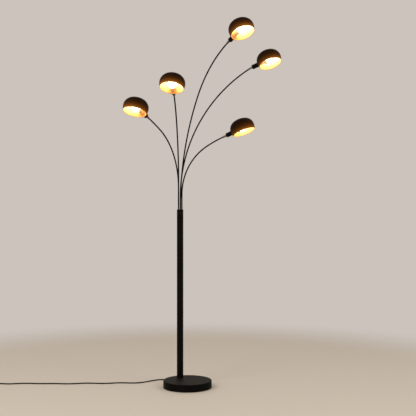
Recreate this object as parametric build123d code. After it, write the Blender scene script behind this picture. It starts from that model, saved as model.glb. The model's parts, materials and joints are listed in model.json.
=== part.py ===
from build123d import *
import math
import os
from collections import namedtuple

# Tree floor lamp. Five domed shades on curved arms fan out of one column on a round, weighted base.
#
# Millimetres, +Z up. The origin is the centre of the base's underside, on the floor. +X is the
# lamp's right and -Y its front. The arms lean forwards, so the column stands behind the base's
# centre and the base's weight lies under the shades.
#
# Bearings are degrees from +X towards +Y, seen from above. A head's own frame has its origin where
# the neck's axis meets the shade's axis, +X along the neck away from the arm, and +Z up the crown.

# Base: a pressed steel cover over a cast-iron weight, on a foam pad
base_diameter = 260.0
base_height = 40.0  # floor to the cover's top face
cover_wall = 1.2
cover_edge_radius = 4.0
cover_lift = 1.5  # the skirt's rim stays off the floor
pad_margin = 7.0  # pad to the cover's outside
pad_thickness = 3.0
weight_side_gap = 0.4  # casting to the cover's skirt
weight_pocket_diameter = 196.0
weight_pocket_depth = 16.0
weight_rib_width = 9.0
weight_rib_count = 6
stem_recess_diameter = 54.0
stem_recess_depth = 29.0
lead_channel_width = 15.0
lead_channel_depth = 14.0

# Column: a steel tube on a foot plug, whose hollow stem is bolted through the base
column_diameter = 35.0
column_wall = 1.5
column_top = 955.0  # floor to the cap's top face
column_set_back = 73.0  # base centre to column axis
column_bearing = 125.0
foot_plug_height = 12.0
stem_diameter = 16.0
stem_bore = 10.0
stem_nut_width = 24.0  # across flats
stem_nut_height = 8.0
stem_washer_diameter = 44.0
stem_washer_thickness = 2.5
stem_spare = 2.0  # stem below its nut
foot_chamfer = 1.0
slide_fit = 0.1  # radial, between pieces that only slip together

# Cap: closes the column and carries the arms in five upright bores
cap_height = 6.0
cap_chamfer = 1.2
cap_spigot_length = 30.0
arm_ring_radius = 10.0  # column axis to each arm's root
running_fit = 0.08  # radial, between pieces that turn
grub_diameter = 4.0
grub_drop = 21.0  # below the column's top
grub_recess = 0.3
grub_tip_gap = 0.1
grub_socket_width = 2.0
grub_socket_depth = 2.0
grub_point_chamfer = 0.5

# Arms
arm_diameter = 7.5
arm_wall = 1.0
arm_root_depth = 38.0  # below the cap's top face

# Each arm's upright run above the cap, and the radii of its lower and upper bends
top_straight = 10.0
top_lower_radius = 1233.0
top_upper_radius = 622.0
right_straight = 70.0
right_lower_radius = 774.0
right_upper_radius = 774.0
centre_straight = 153.0
centre_lower_radius = 379.0
centre_upper_radius = 557.0
left_straight = 119.0
left_lower_radius = 341.0
left_upper_radius = 1324.0
low_straight = 81.0
low_lower_radius = 295.0
low_upper_radius = 666.0

# hole: bearing of the arm's bore in the cap. bearing: the way the arm leans. The two bends follow,
# each a radius and a sweep. droop: how far the neck bends down at the knuckle. roll: how far the
# head is turned about its neck.
Arm = namedtuple(
    "Arm", "name hole bearing straight lower_radius lower_sweep upper_radius upper_sweep droop roll"
)
arms = [
    Arm("top", -81, -50, top_straight, top_lower_radius, 29, top_upper_radius, 30.5, 3, -2),
    Arm("right", 83, -20, right_straight, right_lower_radius, 30, right_upper_radius, 30, 8.5, -12),
    Arm("centre", 149, -92.5, centre_straight, centre_lower_radius, 20.5, centre_upper_radius, 41, 6.5, -5),
    Arm("left", -147, -121, left_straight, left_lower_radius, 61, left_upper_radius, 5, 3, 0),
    Arm("low", -12, -26, low_straight, low_lower_radius, 59.5, low_upper_radius, 9.5, -1, 0),
]

# Knuckle: two half-lapped ears on a hinge screw, between the arm's tip and the neck
knuckle_diameter = 11.0
ferrule_length = 12.5  # hinge to the ferrule's mouth
ferrule_mouth = 9.4
ferrule_taper = 4.5
ferrule_socket = 5.8
lap_clearance = 0.5  # ear's round end to the other half's shoulder
ear_gap = 0.1  # between the ears' faces
knuckle_neck = 12.5  # hinge to the neck cup
collar_diameter = 13.0
collar_length = 2.6
seat_gap = 0.1  # under heads and collars that turn
hinge_screw_diameter = 3.0
hinge_head_diameter = 5.2
hinge_head_height = 1.5
hinge_nut_width = 5.0
hinge_pocket_depth = 1.8
hinge_pocket_fit = 0.3  # radial, round the screw's head
hinge_slot_width = 0.8
hinge_slot_depth = 0.7
swivel_stud_diameter = 7.8
swivel_stud_bore = 4.0
swivel_nut_width = 12.0
swivel_nut_height = 4.0
swivel_stud_spare = 1.0  # stud beyond its locknut
wire_hole = 2.6

# Head: neck cup, lampholder, ring, shade and bulb
neck_length = 34.3  # shade's flat to the neck cup's closed end
neck_diameter = 24.0
neck_wall = 1.0
neck_end_wall = 1.5
neck_end_radius = 2.5
shade_diameter = 130.0
shade_wall = 1.0
crown_height = 49.0  # above the widest circle
shoulder_radius = 45.0  # from the widest circle up to the flatter crown
skirt_depth = 25.0  # below the widest circle
rim_bead = 2.0
seat_margin = 0.5  # flat inside the shade, round its ring
holder_diameter = 18.0
holder_barrel = 25.2  # shade's flat to the lampholder's lip
holder_bore = 14.8
holder_bore_depth = 24.0
holder_floor = 2.5
holder_flange_diameter = 21.6
holder_flange_thickness = 2.0
holder_skirt_diameter = 19.6
holder_skirt_wall = 1.6
holder_tail_gap = 0.5
ring_diameter = 24.0
ring_thickness = 5.0
ring_notches = 8
ring_notch_width = 2.5
ring_notch_depth = 1.2
bulb_diameter = 45.0
bulb_length = 78.0
bulb_cap_diameter = 13.9
bulb_cap_length = 25.0
bulb_collar_diameter = 15.2
bulb_contact_diameter = 6.0
bulb_contact_height = 2.0

# Supply: strain relief, lead inside the lamp, terminal block, free cord, coil and plug
cord_diameter = 6.5
gland_height = 11.0  # floor to the strain relief's axis
gland_flange_diameter = 14.0
gland_flange_thickness = 2.0
gland_tail_length = 28.0
gland_root_diameter = 11.0
gland_tip_diameter = 8.4
gland_bore_fit = 0.05
relief_grooves = 5  # in each strain relief
relief_groove_width = 1.4
relief_groove_pitch = 4.0
relief_groove_wall = 0.35  # left between a groove and the lead
lead_bend_radius = 13.5
block_width = 14.0
block_depth = 12.0
block_height = 22.0
block_drop = 44.0  # cap's top face to the block's top
block_corner_radius = 2.0
block_hole = 2.6
block_hole_edge = 1.2  # hole to the block's side
block_hole_depth = 7.0
cord_rest = 3.3  # centre of the cord above the floor
coil_radius = 36.25  # centre of the coil to the middle of its turns
coil_layers = 2
coil_lanes = 2
coil_centre = (-1090.0, 48.0)
coil_end_bearing = 180.0
coil_flat = 0.5  # flat left between the round edges of the coil's outer shape
cord_arc_share = 0.45  # share of the shorter run that an arc takes
tail_length = 30.0
plug_length = 34.0
plug_width = 24.0
plug_back_width = 14.0
plug_thickness = 13.7
plug_relief_length = 22.0
plug_relief_tip_diameter = 7.6
plug_relief_root_diameter = 11.6
plug_relief_sunk = 2.0  # strain relief inside the plug's body
plug_edge_radius = 3.0
pin_diameter = 4.0
pin_length = 19.0
pin_spacing = 18.6

overcut = 1.0  # cutters run this far past the faces that they cut

# Free cord: a first straight run out of the strain relief, then points over the floor to the coil
cord_first_run = 15.0
cord_points = [
    (-109.0, 155.7, 8.8),
    (-117.5, 167.9, 5.3),
    (-128.1, 178.5, 3.4),
    (-141.9, 184.2, cord_rest),
    (-156.8, 183.6, cord_rest),
    (-173.6, 177.2, cord_rest),
    (-193.0, 163.0, cord_rest),
    (-215.4, 141.0, cord_rest),
    (-240.5, 117.0, cord_rest),
    (-271.5, 98.6, cord_rest),
    (-311.0, 93.6, cord_rest),
    (-352.5, 101.0, cord_rest),
    (-394.0, 98.5, cord_rest),
    (-437.0, 85.5, cord_rest),
    (-484.0, 83.0, cord_rest),
    (-530.0, 92.0, cord_rest),
    (-575.0, 91.0, cord_rest),
    (-620.0, 77.0, cord_rest),
    (-668.0, 73.0, cord_rest),
    (-722.0, 82.0, cord_rest),
    (-776.0, 80.0, cord_rest),
    (-830.0, 79.0, cord_rest),
    (-882.0, 89.0, cord_rest),
    (-927.0, 83.0, cord_rest),
    (-969.0, 71.0, cord_rest),
    (-1009.0, 76.0, cord_rest),
    (-1044.0, 86.0, cord_rest),
]

UP = Vector(0, 0, 1)
ROOT_3 = math.sqrt(3)  # a hexagon's width across flats over its side, and the slope of 60 degrees


def bearing_vector(bearing):
    """Level unit vector at a bearing."""
    return Vector(math.cos(math.radians(bearing)), math.sin(math.radians(bearing)), 0)


def upright(radius, low, high):
    """Cylinder about Z between two heights."""
    return Pos(0, 0, low) * Cylinder(radius, high - low, align=(Align.CENTER, Align.CENTER, Align.MIN))


def level(radius, start, end):
    """Cylinder about X between two places on it."""
    return Pos(start, 0, 0) * Rot(0, 90, 0) * upright(radius, 0, end - start)


def crosswise(radius, start, end):
    """Cylinder about Y between two places on it."""
    return Pos(0, start, 0) * Rot(-90, 0, 0) * upright(radius, 0, end - start)


def block(low, high):
    """Box between two corners."""
    size = [b - a for a, b in zip(low, high)]
    return Pos(*low) * Box(*size, align=Align.MIN)


def turned(*outline):
    """Solid of revolution about X, from an outline of (place, radius) points."""
    return revolve(make_face(Polyline(*outline, close=True)), Axis.X)


def hexagon(width, low, high):
    """Hexagonal prism about Z, from its width across flats."""
    return Pos(0, 0, low) * extrude(RegularPolygon(width / ROOT_3, 6), high - low)


def tube_along(path, outer, bore=0.0):
    """Round tube, or a rod with no bore, swept along a path."""
    section = Circle(outer)
    if bore:
        section -= Circle(bore)
    start = Plane(path @ 0, z_dir=path % 0)
    return sweep(start * section, path=path)


# Places that several pieces share

column_axis = bearing_vector(column_bearing) * column_set_back
at_column = Pos(column_axis)
facing_back = Rot(0, 0, column_bearing)  # turns +X to the base's rear, where the cord leaves
cover_roof = base_height - cover_wall
weight_low = pad_thickness
recess_roof = weight_low + stem_recess_depth
gland_tip_reach = base_diameter / 2 + gland_flange_thickness + gland_tail_length
shoulder_centre = shade_diameter / 2 - shoulder_radius  # shade axis to the shoulder's own centre
crown_radius = (shoulder_centre**2 + crown_height**2 - shoulder_radius**2) / (
    2 * (crown_height - shoulder_radius)
)  # of the arc that meets the shoulder smoothly and tops out at the crown's height
seat_distance = shoulder_centre + shade_wall + math.sqrt(
    (shoulder_radius - shade_wall) ** 2 - (ring_diameter / 2 + seat_margin) ** 2
)  # shade axis to the flat that the neck stands on
neck_reach = seat_distance + neck_length  # shade axis to the neck cup's closed end
holder_mouth = seat_distance - holder_barrel
head_reach = knuckle_neck + neck_reach  # hinge to shade axis


def base_cover():
    """Pressed cover: flat top, rounded edge and a skirt with the strain relief's hole in it."""
    outside = fillet(
        upright(base_diameter / 2, cover_lift, base_height).edges().group_by(Axis.Z)[-1],
        cover_edge_radius,
    )
    inside = fillet(
        upright(base_diameter / 2 - cover_wall, 0, cover_roof).edges().group_by(Axis.Z)[-1],
        cover_edge_radius - cover_wall,
    )
    stem_hole = at_column * upright(stem_diameter / 2 + slide_fit, cover_roof - overcut, 2 * base_height)
    return outside - inside - stem_hole - gland_opening()


def gland_opening():
    """Round hole for the strain relief's waist, from the weight's channel out through the skirt."""
    skirt = base_diameter / 2
    hole = level(gland_root_diameter / 2, skirt - cover_wall - overcut, skirt + overcut)
    return facing_back * Pos(0, 0, gland_height) * hole


def base_weight():
    """Casting: ribbed pocket below, a deep recess for the stem's nut and a channel for the lead."""
    radius = base_diameter / 2 - cover_wall - weight_side_gap
    body = upright(radius, weight_low, cover_roof)
    body = fillet(body.edges().group_by(Axis.Z)[-1], cover_edge_radius - cover_wall)
    pocket_radius = weight_pocket_diameter / 2
    pocket_roof = weight_low + weight_pocket_depth
    pocket = upright(pocket_radius, weight_low, pocket_roof)
    for k in range(weight_rib_count):
        rib = block(
            (0, -weight_rib_width / 2, weight_low), (pocket_radius, weight_rib_width / 2, pocket_roof)
        )
        pocket -= Rot(0, 0, column_bearing + 360 * (k + 0.5) / weight_rib_count) * rib
    recess = at_column * upright(stem_recess_diameter / 2, weight_low, recess_roof)
    boss = at_column * upright(stem_recess_diameter / 2 + weight_rib_width, weight_low, pocket_roof)
    stem_hole = at_column * upright(stem_diameter / 2 + slide_fit, weight_low, base_height)
    channel = facing_back * block(
        (column_set_back, -lead_channel_width / 2, weight_low),
        (base_diameter, lead_channel_width / 2, weight_low + lead_channel_depth),
    )
    flange_room = facing_back * Pos(0, 0, gland_height) * level(
        gland_flange_diameter / 2 + slide_fit, radius - gland_flange_thickness, base_diameter
    )
    return body - (pocket - boss) - recess - stem_hole - channel - flange_room


def base_pad():
    """Foam disc that the lamp stands on, glued under the weight."""
    return upright(base_diameter / 2 - pad_margin, 0, pad_thickness)


def column_foot():
    """Plug in the column's lower end and its hollow stem, one turned piece."""
    plug = upright(column_diameter / 2 - column_wall - slide_fit, base_height, base_height + foot_plug_height)
    low = recess_roof - stem_washer_thickness - stem_nut_height - stem_spare
    stem = upright(stem_diameter / 2, low, base_height + foot_plug_height / 2)
    bore = upright(stem_bore / 2, low, base_height + foot_plug_height)
    plug = chamfer(plug.edges().group_by(Axis.Z)[-1], foot_chamfer)
    return at_column * (plug + stem - bore)


def foot_washer():
    """Plain washer under the weight's recess roof."""
    disc = upright(stem_washer_diameter / 2, recess_roof - stem_washer_thickness, recess_roof)
    return at_column * (disc - upright(stem_diameter / 2 + slide_fit, 0, base_height))


def foot_nut():
    """Hexagon nut that pulls the column down on the base."""
    high = recess_roof - stem_washer_thickness
    nut = hexagon(stem_nut_width, high - stem_nut_height, high)
    cone = Pos(0, 0, high - stem_nut_height) * Cone(
        stem_nut_width / 2, stem_nut_width / 2 + stem_nut_height * ROOT_3, stem_nut_height,
        align=(Align.CENTER, Align.CENTER, Align.MIN),
    )
    return at_column * ((nut & cone) - upright(stem_diameter / 2 + running_fit, 0, base_height))


def column_tube():
    """Upright tube with five tapped holes near its top for the arms' grub screws."""
    high = column_top - cap_height
    tube = upright(column_diameter / 2, base_height, high)
    tube -= upright(column_diameter / 2 - column_wall, base_height, high)
    for arm in arms:
        tube -= grub_place(arm) * level(grub_diameter / 2 + slide_fit / 2, 0, column_diameter)
    return at_column * tube


def column_cap():
    """Cap with a chamfered rim, a long spigot and a ring of five upright bores."""
    low = column_top - cap_height
    flange = upright(column_diameter / 2, low, column_top)
    flange = chamfer(flange.edges().group_by(Axis.Z)[-1], cap_chamfer)
    spigot = upright(column_diameter / 2 - column_wall - slide_fit, low - cap_spigot_length, low)
    cap = flange + spigot
    for arm in arms:
        root = bearing_vector(arm.hole) * arm_ring_radius
        cap -= Pos(root) * upright(arm_diameter / 2 + running_fit, 0, column_top + overcut)
        cap -= grub_place(arm) * level(
            grub_diameter / 2 + slide_fit / 2, arm_ring_radius, column_diameter
        )
    return at_column * cap


def grub_place(arm):
    """Turns +X to an arm's grub screw, at its height on the column's axis."""
    return Pos(0, 0, column_top - grub_drop) * Rot(0, 0, arm.hole)


def grub_screws():
    """Five socket set screws, one solid each, that bear on the arms' roots."""
    start = arm_ring_radius + arm_diameter / 2 + grub_tip_gap
    end = column_diameter / 2 - grub_recess
    screw = level(grub_diameter / 2, start, end)
    screw = chamfer(screw.edges().group_by(Axis.X)[0], grub_point_chamfer)
    screw -= Rot(0, 90, 0) * hexagon(grub_socket_width, end - grub_socket_depth, end)
    return Compound(children=[at_column * grub_place(arm) * screw for arm in arms])


def lean_plane(arm):
    """Upright plane of an arm: local X the way it leans, local Y up, origin at its root's lower end."""
    root = column_axis + bearing_vector(arm.hole) * arm_ring_radius
    outwards = bearing_vector(arm.bearing)
    return Plane(
        origin=root + UP * (column_top - arm_root_depth), x_dir=outwards, z_dir=outwards.cross(UP)
    )


def arm_path(arm):
    """Upright run, two tangent bends that lean outwards, and a straight tip for the ferrule."""
    rise = arm_root_depth + arm.straight
    root = Line((0, 0), (0, rise))
    lower = JernArc(root @ 1, root % 1, arm.lower_radius, -arm.lower_sweep)
    upper = JernArc(lower @ 1, lower % 1, arm.upper_radius, -arm.upper_sweep)
    tip = Line(upper @ 1, upper @ 1 + (upper % 1) * ferrule_socket)
    return lean_plane(arm) * Wire([root, lower, upper, tip])


def slope_vector(arm, from_upright):
    """Unit vector in an arm's plane at an angle from upright."""
    angle = math.radians(from_upright)
    return bearing_vector(arm.bearing) * math.sin(angle) + UP * math.cos(angle)


def arm_slope(arm):
    return arm.lower_sweep + arm.upper_sweep


def neck_slope(arm):
    return arm_slope(arm) + arm.droop


def hinge_point(arm):
    """Centre of the knuckle, beyond the end of the arm's last bend."""
    tip = arm_path(arm) @ 1
    return tip + slope_vector(arm, arm_slope(arm)) * (ferrule_length - ferrule_socket)


def hinge_axis(arm):
    """A positive turn about this level axis raises the head."""
    return bearing_vector(arm.bearing).cross(UP)


def crown_vector(arm):
    """The way the crown points: upright in the arm's plane, then rolled about the neck."""
    neck = slope_vector(arm, neck_slope(arm))
    return hinge_axis(arm).cross(neck).rotate(Axis((0, 0, 0), neck), arm.roll)


def ferrule_place(arm):
    """Frame of the knuckle's lower half: origin at the hinge, +X along the arm."""
    along = slope_vector(arm, arm_slope(arm))
    return Location(Plane(hinge_point(arm), x_dir=along, z_dir=hinge_axis(arm).cross(along)))


def neck_place(arm):
    """Frame of the knuckle's upper half: origin at the hinge, +X along the neck."""
    along = slope_vector(arm, neck_slope(arm))
    return Location(Plane(hinge_point(arm), x_dir=along, z_dir=hinge_axis(arm).cross(along)))


def head_place(arm):
    """Frame of the head: origin on the shade's axis at its widest circle."""
    along = slope_vector(arm, neck_slope(arm))
    return Location(Plane(hinge_point(arm) + along * head_reach, x_dir=along, z_dir=crown_vector(arm)))


def arm_tube(arm):
    return tube_along(arm_path(arm), arm_diameter / 2, arm_diameter / 2 - arm_wall)


def half_lap(bar, side, screw_hole):
    """Cuts a bar about X into one ear on the given side of Y = 0, round about the hinge."""
    radius = knuckle_diameter / 2
    beyond = collar_diameter / 2 + overcut
    ear = bar - block((-radius - lap_clearance, -ear_gap / 2, -beyond), (2 * radius, beyond, beyond))
    corner = block((0, -beyond, -beyond), (2 * radius, beyond, beyond))
    ear -= corner - crosswise(radius, -beyond, beyond)
    pocket_floor = radius - hinge_pocket_depth
    ear -= crosswise(hinge_head_diameter / 2 + hinge_pocket_fit, -2 * radius, -pocket_floor)
    ear -= crosswise(screw_hole, -2 * radius, 2 * radius)
    return ear if side < 0 else mirror(mirror(ear, Plane.XZ), Plane.YZ)


def knuckle_lower(arm):
    """Ferrule round the arm's tip, drawn out into the first ear."""
    radius = knuckle_diameter / 2
    bar = turned(
        (-ferrule_length, 0),
        (-ferrule_length, ferrule_mouth / 2),
        (-ferrule_length + ferrule_taper, radius),
        (radius, radius),
        (radius, 0),
    )
    ear = half_lap(bar, -1, hinge_screw_diameter / 2 + running_fit)
    socket_end = -ferrule_length + ferrule_socket
    ear -= level(arm_diameter / 2 + slide_fit / 2, -ferrule_length - overcut, socket_end)
    ear -= Pos(0, wire_hole, 0) * level(wire_hole / 2, socket_end - overcut, 0)
    return ferrule_place(arm) * ear


def knuckle_upper(arm):
    """Second ear, collar and hollow stud that the head turns on."""
    radius = knuckle_diameter / 2
    seat = knuckle_neck - seat_gap
    stud_end = knuckle_neck + neck_end_wall + seat_gap + swivel_nut_height + swivel_stud_spare
    bar = turned(
        (-stud_end, 0),
        (-stud_end, swivel_stud_diameter / 2),
        (-seat, swivel_stud_diameter / 2),
        (-seat, collar_diameter / 2),
        (-seat + collar_length, collar_diameter / 2),
        (-seat + collar_length, radius),
        (radius, radius),
        (radius, 0),
    )
    ear = half_lap(bar, 1, hinge_screw_diameter / 2 + slide_fit / 2)
    ear -= level(swivel_stud_bore / 2, radius + overcut, stud_end + overcut)
    return neck_place(arm) * ear


def knuckle_fasteners(arm):
    """Slotted hinge screw, its nut, and the locknut on the stud inside the neck cup."""
    radius = knuckle_diameter / 2
    floor = radius - hinge_pocket_depth
    head_low = -floor - seat_gap
    screw = crosswise(hinge_screw_diameter / 2, head_low, radius)
    head = crosswise(hinge_head_diameter / 2, head_low - hinge_head_height, head_low)
    slot = block(
        (-radius, head_low - hinge_head_height, -hinge_slot_width / 2),
        (radius, head_low - hinge_head_height + hinge_slot_depth, hinge_slot_width / 2),
    )
    nut = Rot(-90, 0, 0) * hexagon(hinge_nut_width, floor, radius - seat_gap)
    nut -= crosswise(hinge_screw_diameter / 2 + slide_fit / 2, 0, 2 * radius)
    inner_face = knuckle_neck + neck_end_wall + seat_gap
    locknut = Rot(0, 90, 0) * hexagon(swivel_nut_width, inner_face, inner_face + swivel_nut_height)
    locknut -= level(swivel_stud_diameter / 2 + slide_fit / 2, 0, inner_face + 2 * swivel_nut_height)
    place = neck_place(arm)
    return Compound(children=[place * (screw + head - slot), place * nut, place * locknut])


def neck_cup(arm):
    """Black cup over the lampholder: closed towards the knuckle, open against the shade's flat."""
    radius = neck_diameter / 2
    outside = level(radius, -neck_reach, -seat_distance)
    outside = fillet(outside.edges().group_by(Axis.X)[0], neck_end_radius)
    inside = level(radius - neck_wall, -neck_reach + neck_end_wall, -seat_distance)
    inside = fillet(inside.edges().group_by(Axis.X)[0], neck_end_radius - neck_wall)
    stud_hole = level(swivel_stud_diameter / 2 + running_fit, -neck_reach - overcut, 0)
    return head_place(arm) * (outside - inside - stud_hole)


def lampholder(arm):
    """Holder in the cup: skirt round its terminals, flange behind the shade's flat, threaded barrel."""
    tail = -neck_reach + neck_end_wall + holder_tail_gap
    flange = -seat_distance - holder_flange_thickness
    cell_floor = -holder_mouth - holder_bore_depth
    skirt = holder_skirt_diameter / 2
    body = turned(
        (tail, skirt - holder_skirt_wall),
        (tail, skirt),
        (flange, skirt),
        (flange, holder_flange_diameter / 2),
        (-seat_distance, holder_flange_diameter / 2),
        (-seat_distance, holder_diameter / 2),
        (-holder_mouth, holder_diameter / 2),
        (-holder_mouth, holder_bore / 2),
        (cell_floor, holder_bore / 2),
        (cell_floor, 0),
        (cell_floor - holder_floor, 0),
        (cell_floor - holder_floor, skirt - holder_skirt_wall),
    )
    return head_place(arm) * body


def shade_ring(arm):
    """Ring nut that clamps the shade's flat against the holder's flange, notched for the fingers."""
    inner_face = -seat_distance + shade_wall
    ring = level(ring_diameter / 2, inner_face, inner_face + ring_thickness)
    ring -= level(holder_diameter / 2 + running_fit, inner_face - overcut, 0)
    notch = block(
        (inner_face - overcut, ring_diameter / 2 - ring_notch_depth, -ring_notch_width / 2),
        (0, ring_diameter, ring_notch_width / 2),
    )
    for k in range(ring_notches):
        ring -= Rot(360 * k / ring_notches, 0, 0) * notch
    return head_place(arm) * ring


def dome(inset):
    """Filled shade: a ball-shaped skirt, a tighter shoulder and a flatter crown, all set in alike."""
    radius = shade_diameter / 2 - inset
    height = crown_height - inset
    rim = math.sqrt(radius**2 - skirt_depth**2)
    skirt_angle = math.degrees(math.asin(skirt_depth / radius))
    crown_centre = crown_height - crown_radius
    shoulder_angle = math.degrees(math.atan2(-crown_centre, shoulder_centre))
    skirt = CenterArc((0, 0), radius, -skirt_angle, skirt_angle)
    shoulder = CenterArc((shoulder_centre, 0), shoulder_radius - inset, 0, shoulder_angle)
    crown = CenterArc((0, crown_centre), crown_radius - inset, shoulder_angle, 90 - shoulder_angle)
    side = [Line((0, height), (0, -skirt_depth)), Line((0, -skirt_depth), (rim, -skirt_depth))]
    outline = Plane.XZ * make_face([skirt, shoulder, crown, *side])
    beyond_flat = block((-shade_diameter, -shade_diameter, -shade_diameter),
                        (-seat_distance + inset, shade_diameter, shade_diameter))
    return revolve(outline, Axis.Z) - beyond_flat


def shade(arm):
    """Spun shade with a beaded rim and a pressed flat, holed for the lampholder."""
    rim = math.sqrt((shade_diameter / 2) ** 2 - skirt_depth**2) - shade_wall / 2
    shell = dome(0) - dome(shade_wall)
    shell += Pos(0, 0, -skirt_depth) * Torus(rim, rim_bead / 2)
    shell -= level(holder_diameter / 2 + slide_fit, -shade_diameter, -seat_distance / 2)
    return head_place(arm) * shell


def bulb(arm):
    """Small round bulb: contact, screw cap, collar, cone and globe in one outline."""
    tip = -holder_mouth - holder_bore_depth + slide_fit
    globe = bulb_diameter / 2
    centre = tip + bulb_length - globe
    cap_end = tip + bulb_cap_length
    collar = bulb_collar_diameter / 2
    back = math.hypot(centre - cap_end, collar)
    meet = math.acos(globe / back) + math.atan2(collar, centre - cap_end)
    touch = (centre - globe * math.cos(meet), globe * math.sin(meet))
    middle = (math.pi - meet) / 2
    side = Polyline(
        (tip + bulb_length, 0),
        (tip, 0),
        (tip, bulb_contact_diameter / 2),
        (tip + bulb_contact_height, bulb_cap_diameter / 2),
        (cap_end, bulb_cap_diameter / 2),
        (cap_end, collar),
        touch,
    )
    round_end = ThreePointArc(
        touch,
        (centre + globe * math.cos(middle), globe * math.sin(middle)),
        (tip + bulb_length, 0),
    )
    return head_place(arm) * revolve(make_face([*side.edges(), round_end]), Axis.X)


def cord_gland():
    """Strain relief: a waist in the cover's skirt, a flange each side and a tapered tail."""
    skirt = base_diameter / 2
    flange = gland_flange_diameter / 2 - slide_fit
    inner = math.sqrt((skirt - cover_wall) ** 2 - flange**2) - slide_fit  # clear of the curved skirt
    body = turned(
        (inner - gland_flange_thickness, 0),
        (inner - gland_flange_thickness, flange),
        (inner, flange),
        (inner, gland_root_diameter / 2 - slide_fit),
        (skirt + slide_fit, gland_root_diameter / 2 - slide_fit),
        (skirt + slide_fit, gland_flange_diameter / 2),
        (skirt + gland_flange_thickness, gland_flange_diameter / 2),
        (skirt + gland_flange_thickness, gland_root_diameter / 2),
        (gland_tip_reach, gland_tip_diameter / 2),
        (gland_tip_reach, 0),
    )
    body -= level(cord_diameter / 2 + gland_bore_fit, 0, 2 * gland_tip_reach)
    body -= grooves(gland_tip_reach, -1)
    return facing_back * Pos(0, 0, gland_height) * body


def grooves(tip, inwards):
    """Rings cut round a strain relief about X, so that it bends with its lead: they start at its tip."""
    floor = cord_diameter / 2 + gland_bore_fit + relief_groove_wall
    ring = level(gland_flange_diameter, 0, relief_groove_width)
    ring -= level(floor, -overcut, relief_groove_width + overcut)
    first = tip + inwards * relief_groove_pitch / 2 - relief_groove_width / 2
    return [Pos(first + inwards * relief_groove_pitch * k, 0, 0) * ring for k in range(relief_grooves)]


def inner_lead():
    """Lead from the strain relief, under the stem and up the column to the terminal block."""
    top = column_top - block_drop - block_height
    turn = column_set_back + lead_bend_radius
    run_in = Line((gland_tip_reach, gland_height), (turn, gland_height))
    bend = JernArc(run_in @ 1, run_in % 1, lead_bend_radius, -90)
    rise = Line(bend @ 1, (column_set_back, top))
    path = facing_back * (Plane.XZ * Wire([run_in, bend, rise]))
    return tube_along(path, cord_diameter / 2)


def terminal_block():
    """Block in the column that joins the supply lead to the arms' leads, five holes on its top."""
    high = column_top - block_drop
    body = block(
        (-block_width / 2, -block_depth / 2, high - block_height), (block_width / 2, block_depth / 2, high)
    )
    body = fillet(body.edges().filter_by(Axis.Z), block_corner_radius)
    for k in range(len(arms)):
        away = bearing_vector(360 * k / len(arms)) * (block_depth / 2 - block_hole / 2 - block_hole_edge)
        body -= Pos(away) * upright(block_hole / 2, high - block_hole_depth, high + overcut)
    return at_column * body


def turn_between(before, corner, after):
    """Angle in degrees by which a route turns at a corner."""
    return (Vector(corner) - Vector(before)).get_angle(Vector(after) - Vector(corner))


def cord_route():
    """Points of the free cord, from the strain relief's tip to the coil's first turn."""
    outwards = bearing_vector(column_bearing)
    tip = outwards * gland_tip_reach + UP * gland_height
    outer_lane = coil_radius + (coil_lanes - 1) * cord_diameter / 2
    touch = math.sqrt((outer_lane + cord_diameter / 2) ** 2 - outer_lane**2)
    entry = (coil_centre[0] + touch, coil_centre[1] + outer_lane, cord_rest)
    return [tuple(tip), tuple(tip + outwards * cord_first_run), *cord_points, entry]


def cord():
    """Free stretch of the cord: straight runs joined by arcs as large as the runs allow."""
    route = cord_route()
    radii = []
    for before, corner, after in zip(route, route[1:], route[2:]):
        shorter = min((Vector(corner) - Vector(before)).length, (Vector(after) - Vector(corner)).length)
        half_turn = math.radians(turn_between(before, corner, after) / 2)
        radii.append(cord_arc_share * shorter / math.tan(half_turn))
    path = FilletPolyline(*route, radius=radii).wire()
    tube = tube_along(path, cord_diameter / 2)
    share = tube.volume / (math.pi * (cord_diameter / 2) ** 2 * path.length)
    print("cord length", round(path.length), "volume over section times length", round(share, 4))
    print("cord radii", [round(radius) for radius in radii])
    return tube


def cord_coil():
    """Outer shape of the wound cord: a flat ring of turns side by side and on each other."""
    half_width = coil_lanes * cord_diameter / 2
    height = coil_layers * cord_diameter
    ring = upright(coil_radius + half_width, 0, height) - upright(coil_radius - half_width, 0, height)
    ring = fillet(ring.edges().filter_by(GeomType.CIRCLE), (cord_diameter - coil_flat) / 2)
    start = coil_radius + half_width - cord_diameter / 2
    tail = Pos(0, start, plug_thickness / 2) * level(cord_diameter / 2, -tail_length, 0)
    return Pos(coil_centre) * Rot(0, 0, coil_end_bearing - 90) * (ring + tail)


def plug():
    """Flat two-pin plug with a tapered strain relief, lying beside the coil."""
    outer = coil_radius + coil_lanes * cord_diameter / 2 - cord_diameter / 2
    middle = plug_thickness / 2
    relief = turned(
        (0, 0),
        (0, plug_relief_tip_diameter / 2),
        (plug_relief_length, plug_relief_root_diameter / 2),
        (plug_relief_length, 0),
    )
    relief -= grooves(0, 1)
    back = plug_relief_length - plug_relief_sunk
    front = back + plug_length
    outline = Polyline(
        (back, -plug_back_width / 2),
        (back + plug_length / 2, -plug_width / 2),
        (front, -plug_width / 2),
        (front, plug_width / 2),
        (back + plug_length / 2, plug_width / 2),
        (back, plug_back_width / 2),
        close=True,
    )
    body = Pos(0, 0, -middle) * extrude(make_face(outline), plug_thickness)
    body = fillet(body.edges(), plug_edge_radius)
    pins = [Pos(0, y, 0) * level(pin_diameter / 2, front - plug_edge_radius, front + pin_length)
            for y in (-pin_spacing / 2, pin_spacing / 2)]
    whole = body + relief + pins
    return Pos(coil_centre) * Rot(0, 0, coil_end_bearing + 90) * Pos(tail_length, -outer, middle) * whole


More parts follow.
